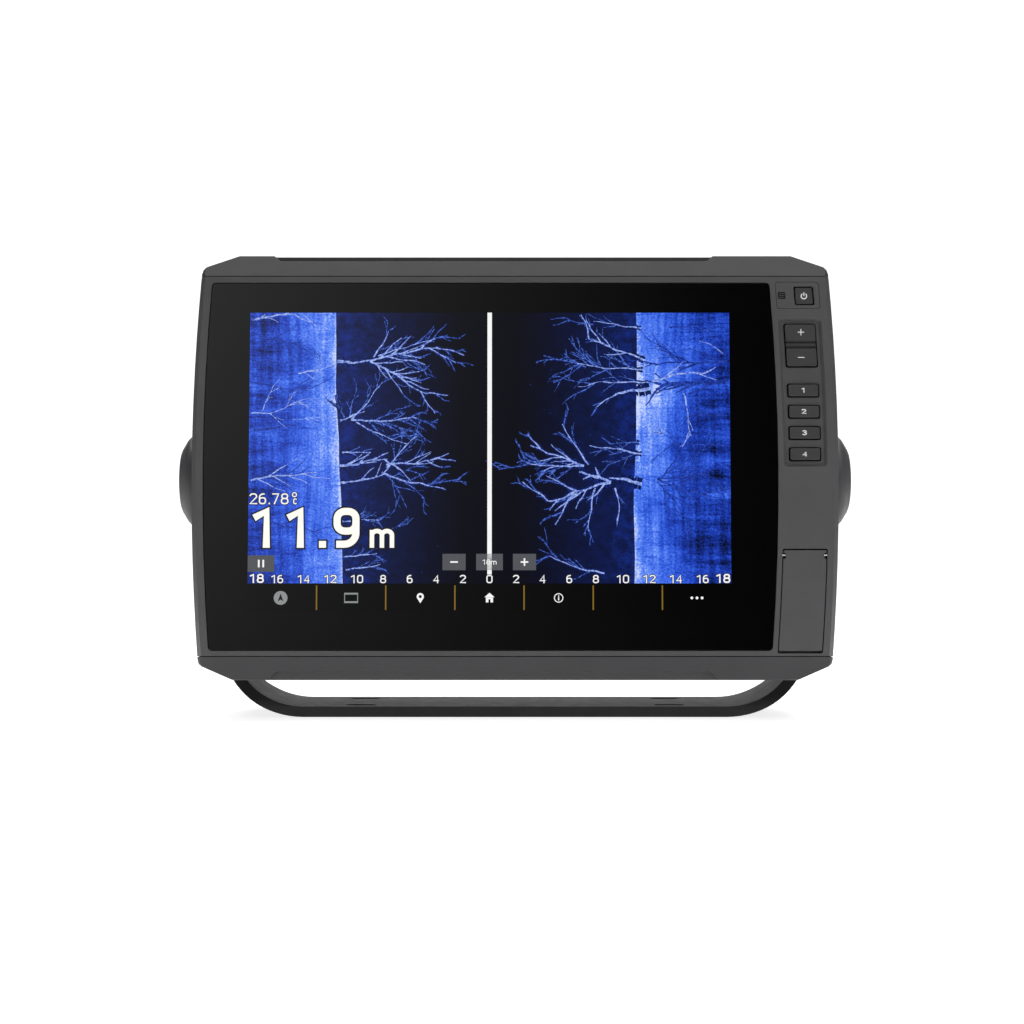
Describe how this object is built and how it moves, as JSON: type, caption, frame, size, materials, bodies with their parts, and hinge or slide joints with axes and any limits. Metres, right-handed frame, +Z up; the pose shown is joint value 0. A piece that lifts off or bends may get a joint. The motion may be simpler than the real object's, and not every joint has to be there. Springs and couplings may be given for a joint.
{
  "type": "chartplotter display",
  "caption": "Marine multifunction display with a wide screen, a right-hand keypad and a card door, held by two clamping knobs in a bail bracket that lets it tilt.",
  "frame": {"origin": "centre of the four screw slots of the bail, on the bail's underside", "axes": "+X to the viewer's right along the screen's width, -Y out of the screen towards the viewer, +Z up"},
  "size_m": [0.312, 0.0776, 0.2105],
  "materials": {
    "bail_metal": "fine textured powder coat",
    "housing_plastic": "fine textured",
    "bezel_plastic": "satin, fine grain",
    "trim_plastic": "satin, fine grain",
    "key_plastic": "satin",
    "knob_plastic": "satin",
    "cover_glass": "gloss",
    "inner_glass": "gloss",
    "seal_rubber": "matte",
    "cap_rubber": "matte",
    "backlight_plastic": "satin",
    "chassis_aluminium": "satin",
    "screw_steel": "satin",
    "sheet_steel": "satin",
    "port_metal": "satin black",
    "board_laminate": "solder mask",
    "component_black": "matte",
    "antenna_ceramic": "matte",
    "ribbon_film": "satin",
    "sensor_window": "gloss",
    "insert_brass": "satin",
    "vent_film": "matte"
  },
  "bodies": {
    "bail": {"bail_bracket": "bail_metal"},
    "head": {"rear_housing": "housing_plastic", "front_bezel": "bezel_plastic", "top_trim": "trim_plastic", "bottom_trim": "trim_plastic", "cover_glass": "cover_glass", "touch_sensor": "inner_glass", "lcd_cell": "inner_glass", "glass_gasket": "seal_rubber", "housing_gasket": "seal_rubber", "friction_pad_left": "seal_rubber", "friction_pad_right": "seal_rubber", "keypad_membrane": "seal_rubber", "backlight_unit": "backlight_plastic", "chassis_plate": "chassis_aluminium", "heat_sink": "chassis_aluminium", "chassis_screws": "screw_steel", "board_screws": "screw_steel", "housing_screws": "screw_steel", "board_standoffs": "screw_steel", "door_hinge_pin": "screw_steel", "shield_cans": "sheet_steel", "card_sockets": "sheet_steel", "port_shells": "port_metal", "main_board": "board_laminate", "keypad_board": "board_laminate", "card_board": "board_laminate", "connector_board": "board_laminate", "processor": "component_black", "memory_chips": "component_black", "beeper": "component_black", "power_capacitors": "component_black", "gps_antenna": "antenna_ceramic", "display_ribbon": "ribbon_film", "keypad_ribbon": "ribbon_film", "power_plate": "bezel_plastic", "light_sensor": "sensor_window", "card_tray": "housing_plastic", "threaded_inserts": "insert_brass", "port_inserts": "component_black", "port_contacts": "insert_brass", "vent_membrane": "vent_film"},
    "power_button": {"power_button": "key_plastic"},
    "rocker": {"rocker_key": "key_plastic"},
    "key_1": {"key_1": "key_plastic"},
    "key_2": {"key_2": "key_plastic"},
    "key_3": {"key_3": "key_plastic"},
    "key_4": {"key_4": "key_plastic"},
    "card_door": {"card_door": "bezel_plastic", "door_gasket": "seal_rubber"},
    "left_washer": {"washer_left": "screw_steel"},
    "left_knob": {"knob_left": "knob_plastic", "knob_stud_left": "screw_steel"},
    "right_washer": {"washer_right": "screw_steel"},
    "right_knob": {"knob_right": "knob_plastic", "knob_stud_right": "screw_steel"},
    "cap_a": {"port_cap_a": "cap_rubber"},
    "cap_b": {"port_cap_b": "cap_rubber"}
  },
  "joints": [
    {"name": "tilt", "type": "hinge", "parent": "bail", "child": "head", "pos_m": [0, -0.002, 0.108], "axis": [-1, 0, 0], "range_deg": [-5, 30]},
    {"name": "power_press", "type": "slide", "parent": "head", "child": "power_button", "axis": [0, 0.9962, -0.0872], "range_m": [0, 0.0008], "stiffness_N_per_m": 1500},
    {"name": "rocker_tilt", "type": "hinge", "parent": "head", "child": "rocker", "pos_m": [0, -0.02783, 0.16843], "axis": [1, 0, 0], "range_deg": [-2, 2], "stiffness_Nm_per_rad": 0.22},
    {"name": "key_1_press", "type": "slide", "parent": "head", "child": "key_1", "axis": [0, 0.9962, -0.0872], "range_m": [0, 0.0008], "stiffness_N_per_m": 1500},
    {"name": "key_2_press", "type": "slide", "parent": "head", "child": "key_2", "axis": [0, 0.9962, -0.0872], "range_m": [0, 0.0008], "stiffness_N_per_m": 1500},
    {"name": "key_3_press", "type": "slide", "parent": "head", "child": "key_3", "axis": [0, 0.9962, -0.0872], "range_m": [0, 0.0008], "stiffness_N_per_m": 1500},
    {"name": "key_4_press", "type": "slide", "parent": "head", "child": "key_4", "axis": [0, 0.9962, -0.0872], "range_m": [0, 0.0008], "stiffness_N_per_m": 1500},
    {"name": "door_swing", "type": "hinge", "parent": "head", "child": "card_door", "pos_m": [0, -0.0417, 0.07413], "axis": [-1, 0, 0], "range_deg": [0, 100]},
    {"name": "left_knob_travel", "type": "slide", "parent": "head", "child": "left_washer", "axis": [-1, 0, 0], "range_m": [0, 0.0025]},
    {"name": "left_knob_turn", "type": "hinge", "parent": "left_washer", "child": "left_knob", "pos_m": [-0.147, -0.002, 0.108], "axis": [-1, 0, 0], "range_deg": [0, 720]},
    {"name": "right_knob_travel", "type": "slide", "parent": "head", "child": "right_washer", "axis": [1, 0, 0], "range_m": [0, 0.0025]},
    {"name": "right_knob_turn", "type": "hinge", "parent": "right_washer", "child": "right_knob", "pos_m": [0.147, -0.002, 0.108], "axis": [1, 0, 0], "range_deg": [0, 720]},
    {"name": "cap_a_pull", "type": "slide", "parent": "head", "child": "cap_a", "axis": [0, 0.9962, -0.0872], "range_m": [0, 0.012]},
    {"name": "cap_b_pull", "type": "slide", "parent": "head", "child": "cap_b", "axis": [0, 0.9962, -0.0872], "range_m": [0, 0.012]}
  ],
  "couplings": [
    {"joint": "left_knob_travel", "follows": "left_knob_turn", "m_per_rad": 0.00019894},
    {"joint": "right_knob_travel", "follows": "right_knob_turn", "m_per_rad": 0.00019894}
  ]
}
